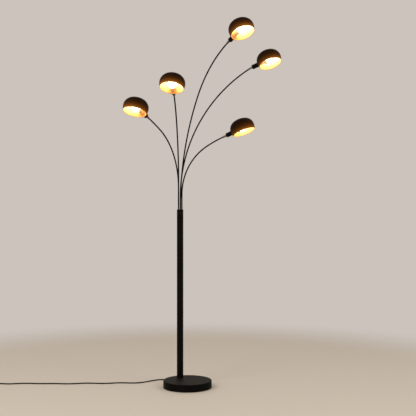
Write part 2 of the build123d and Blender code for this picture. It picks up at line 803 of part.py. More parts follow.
def main():
    os.makedirs("parts", exist_ok=True)
    shared = [
        base_cover, base_weight, base_pad, column_foot, foot_washer, foot_nut, column_tube, column_cap,
        grub_screws, terminal_block, inner_lead, cord_gland, cord, cord_coil, plug,
    ]
    for make in shared:
        export_step(make(), f"parts/{make.__name__}.step")
    per_arm = [
        arm_tube, knuckle_lower, knuckle_upper, knuckle_fasteners, neck_cup, lampholder, shade_ring,
        shade, bulb,
    ]
    for arm in arms:
        for make in per_arm:
            export_step(make(arm), f"parts/{make.__name__}_{arm.name}.step")


if __name__ == "__main__":
    main()
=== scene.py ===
import json
import math

import bmesh
import bpy
import numpy as np
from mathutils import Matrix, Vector


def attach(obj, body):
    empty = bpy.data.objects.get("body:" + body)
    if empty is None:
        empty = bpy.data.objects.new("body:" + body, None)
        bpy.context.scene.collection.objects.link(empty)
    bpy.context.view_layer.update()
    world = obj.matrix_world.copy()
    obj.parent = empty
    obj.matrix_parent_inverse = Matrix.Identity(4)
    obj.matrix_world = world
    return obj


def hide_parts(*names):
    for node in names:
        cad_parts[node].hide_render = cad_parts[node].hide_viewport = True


# Tree floor lamp: finishes for the frame's metal, and finer surfaces for the arms, shades, bulbs, cord
# and plug.
#
# Metres and degrees, +Z up. A head's own axes are: along the neck away from the arm, sideways, and up the
# crown. Its origin is where the neck's axis meets the shade's.

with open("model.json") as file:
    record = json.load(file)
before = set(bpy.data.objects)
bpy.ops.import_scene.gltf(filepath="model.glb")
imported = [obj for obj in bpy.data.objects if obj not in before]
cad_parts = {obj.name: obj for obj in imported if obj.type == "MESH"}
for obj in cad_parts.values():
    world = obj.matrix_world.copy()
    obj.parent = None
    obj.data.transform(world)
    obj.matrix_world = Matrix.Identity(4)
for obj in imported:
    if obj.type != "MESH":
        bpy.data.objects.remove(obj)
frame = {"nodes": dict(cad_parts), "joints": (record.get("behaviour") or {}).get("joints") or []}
nodes = frame["nodes"]
joints = {joint["name"]: joint for joint in frame["joints"]}
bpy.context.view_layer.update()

# View, backdrop, floor and lamps
eye = (0.110, -4.398, 0.963)
lens = 70.87  # millimetres, as the sensor's width
sensor = 36.0
wall_color = (0.60, 0.545, 0.505)
fill_color = (1.0, 0.99, 0.97)
fill_strength = 0.55
floor_color = (0.66, 0.57, 0.47)
floor_roughness = 0.7
floor_drop = 0.0002  # floor under the base's pad, so that they share no plane
floor_solid_radius = 1.5
floor_radius = 2.6  # where the floor has faded away
floor_facets = 96
lamp_size = 1.8
lamp_target = (0, 0, 1.0)
studio_lamps = {  # place, power in watts, and colour
    "key": ((-2.2, -2.4, 2.9), 60.0, (1.0, 0.97, 0.93)),
    "fill": ((2.6, -1.8, 2.2), 30.0, (1.0, 0.96, 0.92)),
}

# Arms: bearing of the lean, upright run above the cap, then two bends, each a radius and a sweep
arm_bends = {
    "top": (-50, 0.010, (1.233, 29), (0.622, 30.5)),
    "right": (-20, 0.070, (0.774, 30), (0.774, 30)),
    "centre": (-92.5, 0.153, (0.379, 20.5), (0.557, 41)),
    "left": (-121, 0.119, (0.341, 61), (1.324, 5)),
    "low": (-26, 0.081, (0.295, 59.5), (0.666, 9.5)),
}
arms = list(arm_bends)
arm_root_depth = 0.038  # below the cap's top face
arm_radius = 0.00375
arm_wall = 0.001
arm_facets = 32
bend_steps = 40
ferrule_socket = 0.0058  # straight tip of the arm, in its ferrule

# Shade
shade_radius = 0.065
shade_wall = 0.001
shade_facets = 144
crown_height = 0.049  # above the widest circle
crown_steps = 18  # in each of the crown's two arcs
shoulder_radius = 0.045  # from the widest circle up to the flatter crown
skirt_depth = 0.025  # below the widest circle
skirt_steps = 14
bead_radius = 0.001
bead_arc = (150, 390)  # round the rim, from the inside to the outside
bead_steps = 13
bead_gold_rows = 5  # of the bead's rows, those that the gold covers
seat_margin = 0.0005  # flat inside the shade, round its ring
flat_edge = 0.0006  # width over which the pressed flat's edge is rounded

# Neck and lampholder
neck_length = 0.0343  # shade's flat to the neck cup's closed end
ring_radius = 0.012
ring_height = 0.005
holder_radius = 0.009
holder_barrel = 0.0252  # shade's flat to the lampholder's lip
holder_lip = 0.0012  # past the thread
holder_depth = 0.024
holder_thread_pitch = 0.0025
holder_thread_height = 0.0005
holder_thread_wall = 0.0003  # sleeve below the thread's foot
holder_thread_steps = 80
thread_facets = 48

# Bulb
bulb_length = 0.078
bulb_facets = 72
globe_radius = 0.0225
dome_sweep = 105.0  # from the dome's pole to its edge
dome_steps = 40
dome_groove = 0.0004  # between the dome and its housing
collar_step = 0.0007  # housing's collar outside its cap
housing_steps = 24
cap_radius = 0.00695
cap_length = 0.025
cap_fit = 0.0001
cap_thread_pitch = 0.00282
cap_thread_height = 0.0012
cap_thread_start = 0.004  # from the bulb's tip
cap_thread_end = 0.0015  # short of the cap's edge
cap_thread_steps = 112
cap_end_radius = 0.0055  # turned-in end
cap_band = 0.001  # plain band at the cap's edge
cap_lap = 0.0002  # cap's edge over the housing
contact_facets = 36

# Contact, from the bulb's tip, as (radius, place) pairs: a metal button on a cone of black glass
contact_button = [(0, 0), (0.0022, 0), (0.0030, 0.0006), (0.0031, 0.0012)]
contact_cone = [(0.0052, 0.0034), (0.0052, 0.0044), (0, 0.0044)]

# Worked out from these, as the solids are. Places on the neck's axis are from the shade's axis.
shoulder_centre = shade_radius - shoulder_radius
crown_radius = (
    (shoulder_centre**2 + crown_height**2 - shoulder_radius**2) / (crown_height - shoulder_radius) / 2
)
seat_chord = math.sqrt((shoulder_radius - shade_wall) ** 2 - (ring_radius + seat_margin) ** 2)
seat_distance = shoulder_centre + shade_wall + seat_chord  # to the pressed flat
neck_reach = seat_distance + neck_length  # to the neck cup's closed end
holder_mouth = seat_distance - holder_barrel
bulb_tip = -holder_mouth - holder_depth + cap_fit
cap_edge = bulb_tip + cap_length
globe_middle = bulb_tip + bulb_length - globe_radius
dome_edge = globe_middle + globe_radius * math.cos(math.radians(dome_sweep))
dome_edge_radius = globe_radius * math.sin(math.radians(dome_sweep))

# Cord
cord_diameter = 0.0065
cord_rest = 0.0033  # middle of the cord above the floor
cord_bevel = 4  # rounding steps of its section
cord_steps = 5  # between two points of its route
gland_tip = (-0.09177, 0.13106, 0.011)
gland_straight = (-0.10038, 0.14335, 0.011)
cord_points = [
    (-0.1090, 0.1557, 0.0088),
    (-0.1175, 0.1679, 0.0053),
    (-0.1281, 0.1785, 0.0034),
    (-0.1419, 0.1842, cord_rest),
    (-0.1568, 0.1836, cord_rest),
    (-0.1736, 0.1772, cord_rest),
    (-0.1930, 0.1630, cord_rest),
    (-0.2154, 0.1410, cord_rest),
    (-0.2405, 0.1170, cord_rest),
    (-0.2715, 0.0986, cord_rest),
    (-0.3110, 0.0936, cord_rest),
    (-0.3525, 0.1010, cord_rest),
    (-0.3940, 0.0985, cord_rest),
    (-0.4370, 0.0855, cord_rest),
    (-0.4840, 0.0830, cord_rest),
    (-0.5300, 0.0920, cord_rest),
    (-0.5750, 0.0910, cord_rest),
    (-0.6200, 0.0770, cord_rest),
    (-0.6680, 0.0730, cord_rest),
    (-0.7220, 0.0820, cord_rest),
    (-0.7760, 0.0800, cord_rest),
    (-0.8300, 0.0790, cord_rest),
    (-0.8820, 0.0890, cord_rest),
    (-0.9270, 0.0830, cord_rest),
    (-0.9690, 0.0710, cord_rest),
    (-1.0090, 0.0760, cord_rest),
    (-1.0440, 0.0860, cord_rest),
]
coil_centre = (-1.090, 0.048)
coil_radius = 0.03625
coil_steps = 16  # points in each turn
coil_start = 67.5  # bearing at which the cord joins the coil
coil_stages = [  # degrees wound, lane (1 outer, -1 inner) and layer after each stretch
    (0, 1, 0),
    (310, 1, 0),
    (355, -1, 0),
    (620, -1, 0),
    (670, -1, 1),
    (930, -1, 1),
    (975, 1, 1),
    (1192.5, 1, 1),
]
tail_length = 0.030  # from the coil's last turn to the plug
cord_in_plug = 0.006

# Plug, from the cord to the pins
plug_height = 0.00685  # floor to its axis, and half its thickness
relief_length = 0.022
relief_tip_radius = 0.0038
relief_root_radius = 0.0058
relief_sunk = 0.002  # strain relief inside the plug's body
relief_facets = 40
relief_grooves = 5
groove_pitch = 0.004
groove_width = 0.0014
groove_radius = 0.0036
plug_length = 0.034
plug_half_width = 0.012
plug_back_half_width = 0.007
plug_edge = 0.003
plug_edge_steps = 7
plug_steps = 60
plug_facets = 64
grip_hollow = 0.0009  # depth of the hollows for finger and thumb
grip_middle = 0.42  # their place, as a share of the plug's length
grip_reach = 0.22
grip_ribs = 0.00028
grip_pitch = 0.0022
pin_radius = 0.002
pin_length = 0.019
pin_half_spacing = 0.0093
pin_tip_steps = 7
pin_facets = 32
sleeve_radius = 0.0018  # insulating sleeve on each pin's root
sleeve_length = 0.010
plug_place = (coil_centre[0] - coil_radius - cord_diameter / 2, coil_centre[1] - tail_length, plug_height)

# Colours, and how the bulb lights the shade
shade_black = (0.012, 0.0045, 0.0010)
# painted warm light on the shade's coat just above its rim, strongest opposite the neck
painted_rim_light_color = (0.36, 0.112, 0.013)
gold_color = (0.90, 0.56, 0.18)
gold_neck_color = (0.38, 0.13, 0.032)  # gold in the housing's shadow
gold_glow_color = (1.0, 0.44, 0.12)
opal_glow_color = (1.0, 0.80, 0.52)
# painted warm light of the bulb on the lampholder, ring and bulb housing, given as a faint emission
painted_light_on_plastic_color = (1.0, 0.42, 0.12)
dust_color = (0.40, 0.33, 0.26)
dust_cover = 0.10  # share of the paint that full dust hides
dust_dulling = 0.12  # what it adds to the roughness
tarnish_dulling = 0.2
glow_cap = (0.75, 1.0, 1.1)  # the most that the gold gives back of each colour
glow_low = 2.1  # how brightly the bulb lights the gold below the widest circle
glow_rise = 9.0  # and how much more brightly at the crown
glow_middle = 0.003  # height of the middle of that rise
glow_ease = 0.009
glow_back = 0.3  # share that is left behind the bulb's dome
rim_fade = 0.009  # height over which the gold's glow comes up from nothing at the rim
rim_glow = 0.0100  # height over which the painted warm light above the rim fades outside
neck_shadow = 0.95  # share that the bulb's housing takes from the gold round the neck
neck_shadow_radius = 0.024

# Finishes of the frame's own nodes, on the stand and on each arm
stand_finishes = {
    "base_cover": "satin_black",
    "base_weight": "cast_iron",
    "base_pad": "foam",
    "column_tube": "satin_black",
    "column_cap": "satin_black",
    "column_foot": "zinc",
    "foot_washer": "zinc",
    "foot_nut": "zinc",
    "grub_screws": "black_steel",
    "terminal_block": "terminal",
    "inner_lead": "sheath",
    "cord_gland": "rubber",
}
arm_finishes = {
    "neck_cup": "satin_black",
    "knuckle_lower": "nickel",
    "knuckle_upper": "nickel",
    "knuckle_fasteners": "nickel",
    "lampholder": "holder",
    "shade_ring": "holder",
}

weld_distance = 1e-7  # points nearer than this are one


# Helpers for shapes


def placed(name, data):
    """New object of the given mesh, curve, camera or light, in the scene."""
    made = bpy.data.objects.new(name, data)
    bpy.context.scene.collection.objects.link(made)
    return made


def unit(vector):
    """A vector over its length."""
    vector = np.asarray(vector, float)
    return vector / np.linalg.norm(vector)


def full_turn(steps):
    """Angles of one turn at even steps, in radians."""
    return np.linspace(0, 2 * np.pi, steps, endpoint=False)


def smooth_step(share):
    """Three squares less two cubes of a share kept between 0 and 1, which is level at both."""
    share = np.clip(share, 0, 1)
    return share**2 * (3 - 2 * share)


def arc(centre, radius, start, end, steps):
    """Points of a circle from one angle to another: the centre plus the radius times cosine and sine."""
    angles = np.radians(np.linspace(start, end, steps))
    return centre + radius * np.stack([np.cos(angles), np.sin(angles)], axis=1)


def carried(wide, deep, place, outline):
    """An outline of x and y values, made wide and deep by a factor at each place along z."""
    across, up = outline
    along = np.outer(place, np.ones(len(up)))
    return np.stack([np.outer(wide, across), np.outer(deep, up), along], axis=-1)


def spun(profile, steps):
    """A profile of (radius, height) pairs round z: the radius times cosine and sine, and the height."""
    radius, height = np.asarray(profile).T
    angles = full_turn(steps)
    return carried(radius, radius, height, (np.cos(angles), np.sin(angles)))


def threaded(foot, height, pitch, low, high, steps):
    """Screw thread: a radius that waves by a cosine of the place along the axis less the turn round it."""
    place = np.linspace(low, high, steps)[:, None]
    angle = full_turn(thread_facets)
    radius = foot + height / 2 * (1 + np.cos(2 * np.pi * place / pitch - angle))
    along = np.broadcast_to(place, radius.shape)
    return np.stack([radius * np.cos(angle), radius * np.sin(angle), along], axis=-1)


def grid_mesh(name, points, materials, around=False, along=False, parts=None, marks=None):
    """Mesh of a grid of points, rows by columns, closed around its columns or along its rows if asked.

    Its UV map runs from 0 to 1 round the columns and in metres along the rows. Parts gives the number of
    each row's material, and marks are named values at each point.
    """
    rows, columns = points.shape[:2]
    index = np.arange(rows * columns).reshape(rows, columns)
    if around:
        index = np.hstack([index, index[:, :1]])
    if along:
        index = np.vstack([index, index[:1]])
    corners = [np.s_[:-1, :-1], np.s_[:-1, 1:], np.s_[1:, 1:], np.s_[1:, :-1]]
    faces = np.stack([index[corner] for corner in corners], axis=-1)
    mesh = bpy.data.meshes.new(name)
    mesh.from_pydata(points.reshape(-1, 3).tolist(), [], faces.reshape(-1, 4).tolist())
    for material in materials:
        mesh.materials.append(material)
    step = np.linalg.norm(np.diff(points, axis=0, append=points[:1]), axis=-1).mean(axis=1)
    down = np.append(0, np.cumsum(step))[: len(index)]
    place = np.stack(np.meshgrid(np.linspace(0, 1, index.shape[1]), down), axis=-1)
    unrolled = np.stack([place[corner] for corner in corners], axis=2)
    mesh.uv_layers.new(name="UVMap").data.foreach_set("uv", unrolled.ravel())
    for label, values in (marks or {}).items():
        mesh.attributes.new(label, "FLOAT", "POINT").data.foreach_set("value", values.ravel())
    if parts is not None:
        slots = np.repeat(np.asarray(parts)[: len(faces)], faces.shape[1])
        mesh.polygons.foreach_set("material_index", slots.astype(np.int32))
    return mesh


def surface(name, points, body, materials, **options):
    """Piece of a grid of points on a body, with its seams and poles closed and its faces turned outwards."""
    mesh = grid_mesh(name, points, materials, **options)
    work = bmesh.new()
    work.from_mesh(mesh)
    bmesh.ops.remove_doubles(work, verts=work.verts, dist=weld_distance)
    bmesh.ops.dissolve_degenerate(work, edges=work.edges, dist=weld_distance)
    if work.calc_volume(signed=True) < 0:
        bmesh.ops.reverse_faces(work, faces=work.faces)
    work.to_mesh(mesh)
    work.free()
    mesh.shade_smooth()
    piece = placed(name, mesh)
    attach(piece, body)
    return piece


# Arms


def arm_line(arm):
    """Centreline of an arm in its own plane as (outwards, up) pairs, and its slope from upright at each.

    A straight run adds its length times the slope's sine and cosine, and a bend its radius times the
    change of the slope's cosine and sine.
    """
    _, straight, *bends = arm_bends[arm]
    slope = np.zeros(2)
    line = np.array([[0, 0], [0, arm_root_depth + straight]])
    for radius, sweep in bends:
        turned = slope[-1] + np.radians(np.linspace(0, sweep, bend_steps)[1:])
        outwards = np.cos(slope[-1]) - np.cos(turned)
        up = np.sin(turned) - np.sin(slope[-1])
        line = np.vstack([line, line[-1] + radius * np.stack([outwards, up], axis=1)])
        slope = np.append(slope, turned)
    tip = line[-1] + ferrule_socket * np.array([np.sin(slope[-1]), np.cos(slope[-1])])
    return np.vstack([line, tip]), np.append(slope, slope[-1])


def arm_skin(arm, paint):
    """Bent tube: two circles, the outside and the bore, carried square to the arm's line."""
    bearing = math.radians(arm_bends[arm][0])
    plane = np.array([[math.cos(bearing), math.sin(bearing), 0], [0, 0, 1]])
    root = np.array(joints[f"arm_turn_{arm}"]["pos_m"]) - (0, 0, arm_root_depth)
    line, slope = arm_line(arm)
    middle = (root + line @ plane)[:, None]
    across = (np.stack([np.cos(slope), -np.sin(slope)], axis=1) @ plane)[:, None]
    angle = full_turn(arm_facets)[:, None]
    ring = np.cos(angle) * across + np.sin(angle) * np.cross(*plane)
    outside = middle + arm_radius * ring
    bore = middle + (arm_radius - arm_wall) * ring
    points = np.concatenate([outside, bore[::-1]])
    piece = surface(f"arm_skin_{arm}", points, f"arm_{arm}", [paint], around=True, along=True)
    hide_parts(f"arm_tube_{arm}")


# Heads


def head_axes(arm):
    """A head's origin, and its three axes as rows.

    The crown's axis is the way from the origin to the middle of the shade's area, made square to the neck.
    """
    joint = joints[f"head_turn_{arm}"]
    neck = unit(joint["axis"])
    origin = np.array(joint["pos_m"]) + neck_reach * neck
    faces = nodes[f"shade_{arm}"].data.polygons
    middles = np.zeros(len(faces) * 3)
    areas = np.zeros(len(faces))
    faces.foreach_get("center", middles)
    faces.foreach_get("area", areas)
    middle = areas @ middles.reshape(-1, 3) / areas.sum() - origin
    crown = unit(middle - (middle @ neck) * neck)
    return origin, np.array([neck, np.cross(crown, neck), crown])


def ahead_share(points):
    """Share of the bulb's light at each point: it grows with the square root of how far ahead of the
    bulb's dome the point lies."""
    away = points - (globe_middle, 0, 0)
    ahead = (1 + away[..., 0] / np.linalg.norm(away, axis=-1)) / 2
    return glow_back + (1 - glow_back) * np.sqrt(ahead)


def gold_glow(points):
    """How brightly the bulb lights the gold: a logistic step up the crown, times the share for how far
    ahead a point lies, less an exponential fade to the rim."""
    rise = glow_rise / (1 + np.exp((glow_middle - points[..., 2]) / glow_ease))
    near_rim = np.exp(-np.clip(points[..., 2] + skirt_depth, 0, None) / rim_fade)
    return (glow_low + rise) * ahead_share(points) * (1 - near_rim)


def painted_rim_light_share(points):
    """Painted warm light on the coat outside: the share for how far ahead a point lies, times an
    exponential fade up from the rim."""
    return ahead_share(points) * np.exp(-(points[..., 2] + skirt_depth) / rim_glow)


def housing_shadow(points):
    """Share of the light that the bulb's housing takes: a bell shape round the neck's axis, on its side."""
    off_axis = np.hypot(points[..., 1], points[..., 2]) / neck_shadow_radius
    return np.where(points[..., 0] < 0, neck_shadow * np.exp(-(off_axis**2)), 0)


def wall_curve(inset):
    """Outline of the shade's wall up from its bead, three arcs: the skirt, the shoulder and the crown."""
    ball = shade_radius - inset
    low = math.degrees(math.asin((bead_radius - skirt_depth) / ball))
    crown_centre = crown_height - crown_radius
    turn = math.degrees(math.atan2(-crown_centre, shoulder_centre))
    skirt = arc((0, 0), ball, low, 0, skirt_steps)
    shoulder = arc((shoulder_centre, 0), shoulder_radius - inset, 0, turn, crown_steps)
    crown = arc((0, crown_centre), crown_radius - inset, turn, 90, crown_steps)
    return np.vstack([skirt[:-1], shoulder, crown[1:]])


def shade_skin(arm, paint, gold):
    """Spun shade: the inner outline down, the rim's bead round and the outer outline up, round the crown's
    axis. What lies beyond the pressed flat's plane is brought to it by a smooth maximum: half the sum of the
    distance before the plane and the root of its square and the edge's.
    """
    inner, outer = wall_curve(shade_wall), wall_curve(0)
    rim = math.sqrt(shade_radius**2 - skirt_depth**2) - shade_wall / 2
    bead = arc((rim, -skirt_depth), bead_radius, *bead_arc, bead_steps)
    points = spun(np.vstack([inner[::-1], bead, outer]), shade_facets)
    rows = np.arange(len(points))[:, None]
    flat = np.where(rows < len(inner), seat_distance - shade_wall, seat_distance)
    before = points[..., 0] + flat
    points[..., 0] = (before + np.sqrt(before**2 + flat_edge**2)) / 2 - flat
    coated = rows >= len(inner) + bead_gold_rows
    shadow = housing_shadow(points)
    # outside, painted warm light above the rim; inside, the bulb's light painted on the gold, less the
    # housing's painted shadow
    glow = np.where(coated, painted_rim_light_share(points), gold_glow(points) * (1 - shadow))
    origin, axes = head_axes(arm)
    piece = surface(
        f"shade_skin_{arm}", origin + points @ axes, f"head_{arm}", [gold, paint], around=True,
        parts=coated[:, 0], marks={"glow": glow, "shadow": shadow},
    )
    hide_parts(f"shade_{arm}")


def neck_piece(arm, name, points, materials, slot, **options):
    """Piece of a head whose points have x sideways, y up the crown and z along the neck."""
    origin, axes = head_axes(arm)
    place = origin + points @ axes[[1, 2, 0]]
    piece = surface(f"{name}_{arm}", place, f"head_{arm}", materials, around=True, **options)
    return piece


def holder_thread(arm, plastic):
    """Sleeve on the lampholder's barrel from the ring to the lip, threaded outside and plain inside."""
    low = -seat_distance + shade_wall + ring_height
    high = -holder_mouth - holder_lip
    bore = holder_radius - holder_thread_wall
    outside = threaded(
        holder_radius, holder_thread_height, holder_thread_pitch, low, high, holder_thread_steps
    )
    inside = spun([(bore, high), (bore, low)], thread_facets)
    points = np.concatenate([outside, inside])
    neck_piece(arm, "holder_thread", points, [plastic], "holder", along=True)


def bulb_piece(arm, name, points, materials, **options):
    """Piece of a head that stands for a part of its bulb."""
    piece = neck_piece(arm, name, points, materials, "bulb", **options)
    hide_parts(f"bulb_{arm}")


def bulb_dome(arm, opal):
    """Opal dome: a ball's arc from its pole to past its widest circle, then a small step in and a disc."""
    ball = arc((0, globe_middle), globe_radius, 90, 90 - dome_sweep, dome_steps)
    disc = [(dome_edge_radius - dome_groove, dome_edge), (0, dome_edge)]
    bulb_piece(arm, "bulb_dome", spun(np.vstack([ball, disc]), bulb_facets), [opal])


def bulb_housing(arm, plastic):
    """Housing: its radius eases from the dome's edge to the collar by a cubic that starts at the ball's
    slope and ends level."""
    collar = cap_radius + collar_step
    length = dome_edge - cap_edge
    share = np.linspace(1, 0, housing_steps)
    slope = length / math.tan(math.radians(180 - dome_sweep))
    radius = collar + (dome_edge_radius - collar) * smooth_step(share) + slope * share**2 * (share - 1)
    side = np.stack([radius, cap_edge + length * share], axis=1)
    side[0] -= dome_groove
    profile = np.vstack([[(0, side[0, 1])], side, [(0, cap_edge)]])
    bulb_piece(arm, "bulb_housing", spun(profile, bulb_facets), [plastic])


def bulb_cap(arm, metal):
    """Screw cap: its thread between a turned-in end and a plain band."""
    low = bulb_tip + cap_thread_start
    high = cap_edge - cap_thread_end
    top = cap_edge + cap_lap
    foot = cap_radius - cap_thread_height
    start = spun([(0, low), (cap_end_radius, low)], thread_facets)
    thread = threaded(foot, cap_thread_height, cap_thread_pitch, low, high, cap_thread_steps)
    band = spun([(cap_radius, cap_edge - cap_band), (cap_radius, top), (0, top)], thread_facets)
    bulb_piece(arm, "bulb_cap", np.concatenate([start, thread, band]), [metal])


def bulb_contact(arm, metal, glass):
    """Centre contact: a rounded metal button on a cone of black glass, both spun."""
    profile = np.array([*contact_button, *contact_cone]) + (0, bulb_tip)
    on_glass = np.arange(len(profile)) >= len(contact_button) - 1
    bulb_piece(arm, "bulb_contact", spun(profile, contact_facets), [metal, glass], parts=on_glass)


# Cord and plug


def coil_route():
    """Points of the winding: bearings at even steps about the coil's centre, in its lanes and layers.

    The curve runs inside its points, so their radius is larger by one over the half step's cosine.
    """
    wound, lanes, layers = np.array(coil_stages, float).T
    here = np.linspace(0, wound[-1], round(wound[-1] * coil_steps / 360) + 1)
    radius = coil_radius + np.interp(here, wound, lanes) * cord_diameter / 2
    radius /= math.cos(math.pi / coil_steps)
    height = cord_rest + np.interp(here, wound, layers) * cord_diameter
    bearing = np.radians(coil_start + here)
    across = coil_centre[0] + radius * np.cos(bearing)
    back = coil_centre[1] + radius * np.sin(bearing)
    return np.stack([across, back, height], axis=1).tolist()


def supply_cord(sheath):
    """The free cord: out of the strain relief, along the floor, wound into its coil, and into the plug."""
    side, end, height = plug_place
    half_way_down = (cord_rest + cord_diameter + plug_height) / 2
    tail = [(side, end + tail_length / 2, half_way_down), plug_place, (side, end - cord_in_plug, height)]
    route = [gland_tip, gland_straight, *cord_points, *coil_route(), *tail]
    curve = bpy.data.curves.new("supply_cord", "CURVE")
    curve.dimensions = "3D"
    curve.bevel_depth = cord_diameter / 2
    curve.bevel_resolution = cord_bevel
    curve.use_fill_caps = True
    curve.resolution_u = cord_steps
    curve.render_resolution_u = cord_steps
    curve.materials.append(sheath)
    spline = curve.splines.new("NURBS")
    spline.points.add(len(route) - 1)
    for point, place in zip(spline.points, route):
        point.co = (*place, 1)
    spline.order_u = 3
    spline.use_endpoint_u = True
    piece = placed("supply_cord", curve)
    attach(piece, "stand")
    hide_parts("cord", "cord_coil")


def plug_piece(name, points, materials, **options):
    """Piece of the plug. In its points x is to the side, y up, and z along the plug from the cord."""
    axes = np.array([[1, 0, 0], [0, 0, 1], [0, -1, 0]])
    piece = surface(name, plug_place + points @ axes, "stand", materials, around=True, **options)
    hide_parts("plug")
    return piece


def plug_relief(rubber):
    """Strain relief: a straight taper with square grooves cut round it at an even pitch."""
    starts = groove_width + groove_pitch * np.arange(relief_grooves)
    ends = starts + groove_width
    place = np.array([0, *np.stack([starts, starts, ends, ends], axis=1).ravel(), relief_length])
    cut = [False, *[False, True, True, False] * relief_grooves, False]
    taper = np.interp(place, (0, relief_length), (relief_tip_radius, relief_root_radius))
    side = np.stack([np.where(cut, groove_radius, taper), place], axis=1)
    profile = np.vstack([[(0, 0)], side, [(0, relief_length)]])
    return plug_piece("plug_relief", spun(profile, relief_facets), [rubber])


def plug_body(rubber):
    """Moulded body: fourth-power superellipses that widen to the front by a smooth step.

    They are drawn in at both ends by a quarter circle, and all round the grip by a bell-shaped hollow with
    a fine wave of ribs.
    """
    end = plug_edge * (1 - np.cos(np.linspace(0, np.pi / 2, plug_edge_steps))) / plug_length
    middle = np.linspace(end[-1], 1 - end[-1], plug_steps)[1:-1]
    share = np.concatenate([end, middle, 1 - end[::-1]])
    from_end = np.minimum(np.minimum(share, 1 - share) * plug_length, plug_edge)
    drawn_in = plug_edge - np.sqrt(plug_edge**2 - (plug_edge - from_end) ** 2)
    grip = np.exp(-2 * ((share - grip_middle) / grip_reach) ** 2)
    ribs = grip_ribs * (1 - np.cos(2 * np.pi * share * plug_length / grip_pitch)) / 2
    inset = drawn_in + grip * (grip_hollow + ribs)
    widening = (plug_half_width - plug_back_half_width) * smooth_step(2 * share)
    wide = np.pad(plug_back_half_width + widening - inset, 1)
    thick = np.pad(plug_height - inset, 1)
    place = relief_length - relief_sunk + np.pad(share, 1, mode="edge") * plug_length
    turn = full_turn(plug_facets)
    outline = [np.sign(wave) * np.sqrt(np.abs(wave)) for wave in (np.cos(turn), np.sin(turn))]
    return plug_piece("plug_body", carried(wide, thick, place, outline), [rubber])


def plug_pin(name, side, rubber, metal):
    """Round pin: a thinner insulating sleeve at its root, then bare metal with a tip rounded by an arc."""
    root = relief_length - relief_sunk + plug_length
    sleeve_end = root + sleeve_length
    sleeve = [(0, root - plug_edge), (sleeve_radius, root - plug_edge), (sleeve_radius, sleeve_end)]
    tip = arc((0, root + pin_length - pin_radius), pin_radius, 0, 90, pin_tip_steps)
    profile = np.vstack([sleeve, [(pin_radius, sleeve_end)], tip])
    bare = np.arange(len(profile)) >= len(sleeve) - 1
    points = spun(profile, pin_facets) + (side * pin_half_spacing, 0, 0)
    return plug_piece(name, points, [rubber, metal], parts=bare)


# Helpers for node trees


def feed(tree, value, socket):
    """Gives a socket its value, which is a number, a colour or the socket that feeds it."""
    if isinstance(value, bpy.types.NodeSocket):
        tree.links.new(value, socket)
    else:
        socket.default_value = value


def add(tree, kind, settings=None, **inputs):
    """Shader node with its settings, and what feeds each input by its name."""
    made = tree.nodes.new("ShaderNode" + kind)
    for key, value in (settings or {}).items():
        setattr(made, key, value)
    for key, value in inputs.items():
        feed(tree, value, made.inputs[key.replace("_", " ")])
    return made


def combine(tree, kind, settings, *values):
    """Output of a shader node whose inputs are fed in their order."""
    made = add(tree, kind, settings)
    for value, socket in zip(values, made.inputs):
        feed(tree, value, socket)
    return made.outputs[0]


def arithmetic(tree, operation, first, second):
    """Two numbers brought together by a Math node."""
    return combine(tree, "Math", {"operation": operation}, first, second)


def spread(tree, value, span, onto=(0.0, 1.0)):
    """A value's span eased onto another by a smooth step."""
    made = add(
        tree, "MapRange", {"interpolation_type": "SMOOTHSTEP"}, Value=value,
        From_Min=span[0], From_Max=span[1], To_Min=onto[0], To_Max=onto[1],
    )
    return made.outputs[0]


def blend(tree, share, first, second, mode="MIX"):
    """Two colours mixed, by a Mix node's sockets for colours."""
    made = add(tree, "Mix", {"data_type": "RGBA", "blend_type": mode})
    for value, number in ((share, 0), (first, 6), (second, 7)):
        feed(tree, value, made.inputs[number])
    return made.outputs[2]


def noise(tree, where, scale, detail, roughness=0.5):
    """Cloudy values about a half, with a number of cells to the metre."""
    made = add(tree, "TexNoise", Vector=where, Scale=scale, Detail=detail, Roughness=roughness)
    return made.outputs[0]


# Effects: node groups that every finish is made of


def effect(name, **inputs):
    """Node group that takes a colour, a roughness and its own inputs, and gives the first two back, changed
    over the surface, with a height."""
    tree = bpy.data.node_groups.new(name, "ShaderNodeTree")
    for label, kind in {"Color": "Color", "Roughness": "Float", **inputs}.items():
        tree.interface.new_socket(
            label.replace("_", " "), in_out="INPUT", socket_type="NodeSocket" + kind
        )
    for label, kind in {"Color": "Color", "Roughness": "Float", "Height": "Float"}.items():
        tree.interface.new_socket(label, in_out="OUTPUT", socket_type="NodeSocket" + kind)
    source = tree.nodes.new("NodeGroupInput").outputs
    result = tree.nodes.new("NodeGroupOutput").inputs
    return tree, source, result


def uneven(tree, source, pattern, span, change):
    """The finish's roughness, changed over a pattern's span."""
    return arithmetic(tree, "ADD", source["Roughness"], spread(tree, pattern, span, change))


